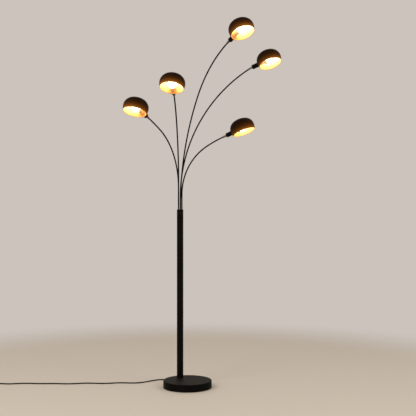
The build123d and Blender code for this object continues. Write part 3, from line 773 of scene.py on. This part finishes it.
def powder_coat():
    """Powder coat: a fine orange peel, cloudy gloss, and a little dust on what faces up."""
    tree, source, result = effect("powder_coat", Grain="Float", Dust="Float")
    place = add(tree, "TexCoord").outputs
    peel = noise(tree, place["Object"], source["Grain"], detail=3)
    cloud = noise(tree, place["Object"], 9.0, detail=4)
    specks = noise(tree, place["Object"], 420.0, detail=3, roughness=0.7)
    facing_up = add(tree, "SeparateXYZ", Vector=place["Normal"]).outputs[2]
    settled = arithmetic(tree, "MULTIPLY", spread(tree, facing_up, (0.5, 1.0)), source["Dust"])
    film = arithmetic(tree, "MULTIPLY", settled, spread(tree, cloud, (0.3, 0.7), (0.25, 1.0)))
    lint = arithmetic(tree, "MULTIPLY", settled, spread(tree, specks, (0.68, 0.8)))
    dust = arithmetic(tree, "MAXIMUM", film, lint)
    dimmed = spread(tree, cloud, (0.25, 0.75), (0.0, 0.5))
    paint = blend(tree, dimmed, source["Color"], (0.0, 0.0, 0.0, 1))
    dusty = blend(tree, arithmetic(tree, "MULTIPLY", dust, dust_cover), paint, (*dust_color, 1))
    gloss = uneven(tree, source, cloud, (0.2, 0.8), (-0.05, 0.05))
    duller = arithmetic(tree, "ADD", gloss, arithmetic(tree, "MULTIPLY", dust, dust_dulling))
    feed(tree, dusty, result["Color"])
    feed(tree, duller, result["Roughness"])
    feed(tree, peel, result["Height"])
    return tree


def plating():
    """Plated or bare metal: soft smudges, hairline scratches and darker tarnish in patches."""
    tree, source, result = effect("plating", Tarnish="Float", Tarnish_Color="Color")
    place = add(tree, "TexCoord").outputs["Object"]
    smudge = noise(tree, place, 70.0, detail=3)
    streaks = add(tree, "Mapping", Vector=place, Scale=(60.0, 900.0, 200.0)).outputs[0]
    hairline = noise(tree, streaks, 1.0, detail=3, roughness=0.6)
    spots = spread(tree, noise(tree, place, 260.0, detail=4, roughness=0.6), (0.52, 0.7))
    stain = arithmetic(tree, "MULTIPLY", spots, source["Tarnish"])
    gloss = uneven(tree, source, smudge, (0.3, 0.7), (-0.06, 0.08))
    duller = arithmetic(tree, "ADD", gloss, arithmetic(tree, "MULTIPLY", stain, tarnish_dulling))
    feed(tree, blend(tree, stain, source["Color"], source["Tarnish Color"]), result["Color"])
    feed(tree, duller, result["Roughness"])
    feed(tree, hairline, result["Height"])
    return tree


def moulding():
    """Moulded plastic or rubber: spark-eroded texture and faint flow clouds."""
    tree, source, result = effect("moulding", Grain="Float")
    place = add(tree, "TexCoord").outputs["Object"]
    sparks = add(tree, "TexVoronoi", {"feature": "F1"}, Vector=place, Scale=source["Grain"]).outputs[0]
    cloud = noise(tree, place, 40.0, detail=3)
    darker = (0.8, 0.8, 0.8, 1)
    clouded = blend(tree, spread(tree, cloud, (0.3, 0.7)), source["Color"], darker, "MULTIPLY")
    feed(tree, clouded, result["Color"])
    feed(tree, uneven(tree, source, cloud, (0.3, 0.7), (-0.05, 0.05)), result["Roughness"])
    feed(tree, sparks, result["Height"])
    return tree


def spinning():
    """Spun metal under paint: faint rings left by the spinning tool, by the surface's own map."""
    tree, source, result = effect("spinning", Rings="Float")
    place = add(tree, "TexCoord").outputs
    down = add(tree, "SeparateXYZ", Vector=place["UV"]).outputs[1]
    along = add(tree, "CombineXYZ", X=arithmetic(tree, "MULTIPLY", down, source["Rings"])).outputs[0]
    rings = noise(tree, along, 1.0, detail=2, roughness=0.6)
    cloud = noise(tree, place["Object"], 35.0, detail=3)
    deeper = (0.86, 0.76, 0.62, 1)
    clouded = blend(tree, spread(tree, cloud, (0.3, 0.75)), source["Color"], deeper, "MULTIPLY")
    feed(tree, clouded, result["Color"])
    feed(tree, uneven(tree, source, rings, (0.3, 0.7), (-0.07, 0.07)), result["Roughness"])
    feed(tree, rings, result["Height"])
    return tree


def rough_cast():
    """Sand casting or foam: pits of two sizes, darker inside."""
    tree, source, result = effect("rough_cast", Grain="Float")
    place = add(tree, "TexCoord").outputs["Object"]
    pits = noise(tree, place, source["Grain"], detail=6, roughness=0.65)
    cloud = noise(tree, place, 25.0, detail=3)
    inside = spread(tree, pits, (0.35, 0.6), (1.0, 0.0))
    darker = (0.45, 0.42, 0.40, 1)
    pitted = blend(tree, inside, source["Color"], darker, "MULTIPLY")
    feed(tree, pitted, result["Color"])
    feed(tree, uneven(tree, source, cloud, (0.3, 0.7), (-0.08, 0.08)), result["Roughness"])
    feed(tree, pits, result["Height"])
    return tree


# Finishes


def finish(name, group, color, roughness, relief=0.0, metallic=0.0, shader_values=None, **values):
    """Material of one effect with its values. Relief is the height of its bump, in metres."""
    material = bpy.data.materials.new(name)
    material.use_nodes = True
    material.diffuse_color = (*color, 1)
    tree = material.node_tree
    shader = tree.nodes["Principled BSDF"].inputs
    for key, value in {"Metallic": metallic, **(shader_values or {})}.items():
        shader[key].default_value = value
    made = add(tree, "Group", {"node_tree": group}, Color=(*color, 1), Roughness=roughness, **values).outputs
    bump = add(tree, "Bump", Height=made["Height"], Distance=relief, Strength=1.0).outputs[0]
    feed(tree, made["Color"], shader["Base Color"])
    feed(tree, made["Roughness"], shader["Roughness"])
    feed(tree, bump, shader["Normal"])
    return material


def mark(tree, label):
    """Values that a piece's points carry under a name."""
    return add(tree, "Attribute", {"attribute_name": label}).outputs["Fac"]


def recolor(material, label, color):
    """Changes a finish to another colour, by a mark at each point."""
    tree = material.node_tree
    base = tree.nodes["Principled BSDF"].inputs["Base Color"]
    feed(tree, blend(tree, mark(tree, label), base.links[0].from_socket, (*color, 1)), base)


def lit_gold(spin):
    """Gold paint that glows in its own colour, by how brightly the bulb lights each point, up to a cap."""
    material = finish(
        "gold", spin, gold_color, roughness=0.38, relief=0.00002, metallic=0.55,
        shader_values={"Emission Strength": 1.0}, Rings=900.0,
    )
    tree = material.node_tree
    lit = add(tree, "VectorMath", {"operation": "SCALE"}, Vector=gold_glow_color, Scale=mark(tree, "glow"))
    capped = combine(tree, "VectorMath", {"operation": "MINIMUM"}, lit.outputs[0], glow_cap)
    feed(tree, capped, tree.nodes["Principled BSDF"].inputs["Emission Color"])
    recolor(material, "shadow", gold_neck_color)
    material.cycles.emission_sampling = "NONE"
    return material


def shade_paint(coat):
    """The shade's black coat, with warm light painted on it towards the rim."""
    faint_gloss = {"Specular IOR Level": 0.04, "Specular Tint": (1.0, 0.6, 0.3, 1)}
    material = finish(
        "shade_black", coat, shade_black, roughness=0.5, relief=0.00002, shader_values=faint_gloss,
        Grain=1400.0, Dust=0.0,
    )
    # painted warm light, brought in towards the rim by the glow mark
    recolor(material, "glow", painted_rim_light_color)
    return material


def make_finishes():
    """Materials by name."""
    coat, plate, mould, spin, cast = powder_coat(), plating(), moulding(), spinning(), rough_cast()
    dull = {"Specular IOR Level": 0.05}
    lit_opal = {"Emission Color": (*opal_glow_color, 1), "Emission Strength": 4.0}
    # faint orange emission on the plastics: painted warm light of the bulb
    plastic_painted_light = {"Emission Color": (*painted_light_on_plastic_color, 1), "Emission Strength": 0.22}
    recipes = {
        "satin_black": dict(
            group=coat, color=(0.0040, 0.0034, 0.0026), roughness=0.55, relief=0.00006, shader_values=dull,
            Grain=900.0, Dust=0.5,
        ),
        "nickel": dict(
            group=plate, color=(0.17, 0.135, 0.10), roughness=0.40, relief=0.00001, metallic=1.0,
            Tarnish=0.35, Tarnish_Color=(0.09, 0.07, 0.05, 1),
        ),
        "zinc": dict(
            group=plate, color=(0.60, 0.61, 0.63), roughness=0.38, relief=0.00001, metallic=1.0,
            Tarnish=0.4, Tarnish_Color=(0.35, 0.36, 0.38, 1),
        ),
        "black_steel": dict(
            group=plate, color=(0.05, 0.05, 0.052), roughness=0.42, relief=0.00001, metallic=0.9,
            Tarnish=0.3, Tarnish_Color=(0.09, 0.06, 0.04, 1),
        ),
        "brass": dict(
            group=plate, color=(0.68, 0.60, 0.47), roughness=0.28, relief=0.00001, metallic=1.0,
            Tarnish=0.35, Tarnish_Color=(0.35, 0.27, 0.17, 1),
        ),
        "cast_iron": dict(
            group=cast, color=(0.11, 0.105, 0.10), roughness=0.72, relief=0.0004, metallic=0.3, Grain=650.0,
        ),
        "foam": dict(group=cast, color=(0.03, 0.03, 0.03), roughness=0.92, relief=0.0003, Grain=1900.0),
        # the holder's orange-brown tone is partly the plastic's own colour and partly painted warm light of
        # the bulb
        "holder": dict(
            group=mould, color=(0.60, 0.36, 0.19), roughness=0.42, relief=0.00002,
            shader_values=plastic_painted_light, Grain=2600.0,
        ),
        "terminal": dict(
            group=mould, color=(0.80, 0.80, 0.76), roughness=0.45, relief=0.00002, Grain=2600.0,
        ),
        "sheath": dict(
            group=mould, color=(0.011, 0.0085, 0.007), roughness=0.44, relief=0.00003, shader_values=dull,
            Grain=1500.0,
        ),
        "rubber": dict(
            group=mould, color=(0.014, 0.012, 0.011), roughness=0.55, relief=0.00005, shader_values=dull,
            Grain=1700.0,
        ),
        "insulation": dict(group=mould, color=(0.02, 0.02, 0.022), roughness=0.2, Grain=900.0),
        # the housing's faint orange emission is painted warm light of the bulb
        "bulb_housing": dict(
            group=mould, color=(0.80, 0.66, 0.50), roughness=0.35, relief=0.00001,
            shader_values=plastic_painted_light, Grain=3000.0,
        ),
        "opal": dict(
            group=mould, color=(0.93, 0.91, 0.86), roughness=0.22, shader_values=lit_opal, Grain=500.0,
        ),
    }
    made = {name: finish(name, **recipe) for name, recipe in recipes.items()}
    return {**made, "shade_black": shade_paint(coat), "gold": lit_gold(spin)}


# View, backdrop, floor and lamps


def make_view():
    """Level camera that looks along +Y."""
    data = bpy.data.cameras.new("camera")
    data.lens = lens
    data.sensor_width = sensor
    camera = placed("camera", data)
    camera.location = eye
    camera.rotation_euler = (math.pi / 2, 0, 0)
    bpy.context.scene.camera = camera
    bpy.context.scene.view_settings.view_transform = "Standard"


def make_backdrop():
    """World: a pale wall where it is seen, mirrored or seen through, and an even soft light for the rest."""
    world = bpy.data.worlds.new("studio")
    world.use_nodes = True
    bpy.context.scene.world = world
    tree = world.node_tree
    tree.nodes.clear()
    rays = add(tree, "LightPath").outputs
    seen = arithmetic(tree, "MAXIMUM", rays["Is Camera Ray"], rays["Is Glossy Ray"])
    seen = arithmetic(tree, "MAXIMUM", seen, rays["Is Transmission Ray"])
    light = add(tree, "Background", Color=(*fill_color, 1), Strength=fill_strength).outputs[0]
    wall = add(tree, "Background", Color=(*wall_color, 1), Strength=1.0).outputs[0]
    add(tree, "OutputWorld", Surface=combine(tree, "MixShader", {}, seen, light, wall))


def make_floor():
    """Round pale floor, which fades into the backdrop between two radii."""
    material = bpy.data.materials.new("pale_floor")
    material.use_nodes = True
    tree = material.node_tree
    shader = tree.nodes["Principled BSDF"]
    shader.inputs["Base Color"].default_value = (*floor_color, 1)
    shader.inputs["Roughness"].default_value = floor_roughness
    place = add(tree, "TexCoord").outputs["Object"]
    distance = add(tree, "VectorMath", {"operation": "LENGTH"}, Vector=place).outputs["Value"]
    faded = spread(tree, distance, (floor_solid_radius, floor_radius))
    clear = add(tree, "BsdfTransparent").outputs[0]
    mixed = combine(tree, "MixShader", {}, faded, shader.outputs[0], clear)
    feed(tree, mixed, tree.nodes["Material Output"].inputs["Surface"])
    profile = [(floor_radius, -floor_drop), (floor_solid_radius, -floor_drop), (0, -floor_drop)]
    placed("floor", grid_mesh("floor", spun(profile, floor_facets), [material], around=True))


def make_lamp(name, place, power, color):
    """Soft square light, aimed at the middle of the floor lamp."""
    data = bpy.data.lights.new(name, "AREA")
    data.size = lamp_size
    data.energy = power
    data.color = color
    lamp = placed(name, data)
    lamp.location = place
    away = Vector(place) - Vector(lamp_target)
    lamp.rotation_euler = away.to_track_quat("Z", "Y").to_euler()


# Everything in its order: the view first, then the cord, then the arms and heads

make_view()
make_backdrop()
make_floor()
for name, (place, power, color) in studio_lamps.items():
    make_lamp(name, place, power, color)

finishes = make_finishes()
node_finishes = {
    **stand_finishes,
    **{f"{node}_{arm}": name for arm in arms for node, name in arm_finishes.items()},
}
for node, name in node_finishes.items():
    for slot in nodes[node].material_slots:
        slot.material = finishes[name]

plug_parts = [
    plug_relief(finishes["rubber"]),
    plug_body(finishes["rubber"]),
    plug_pin("plug_pin_1", -1, finishes["rubber"], finishes["zinc"]),
    plug_pin("plug_pin_2", 1, finishes["rubber"], finishes["zinc"]),
]
supply_cord(finishes["sheath"])
for arm in arms:
    arm_skin(arm, finishes["satin_black"])
    shade_skin(arm, finishes["shade_black"], finishes["gold"])
    holder_thread(arm, finishes["holder"])
    bulb_dome(arm, finishes["opal"])
    bulb_housing(arm, finishes["bulb_housing"])
    bulb_cap(arm, finishes["brass"])
    bulb_contact(arm, finishes["brass"], finishes["insulation"])
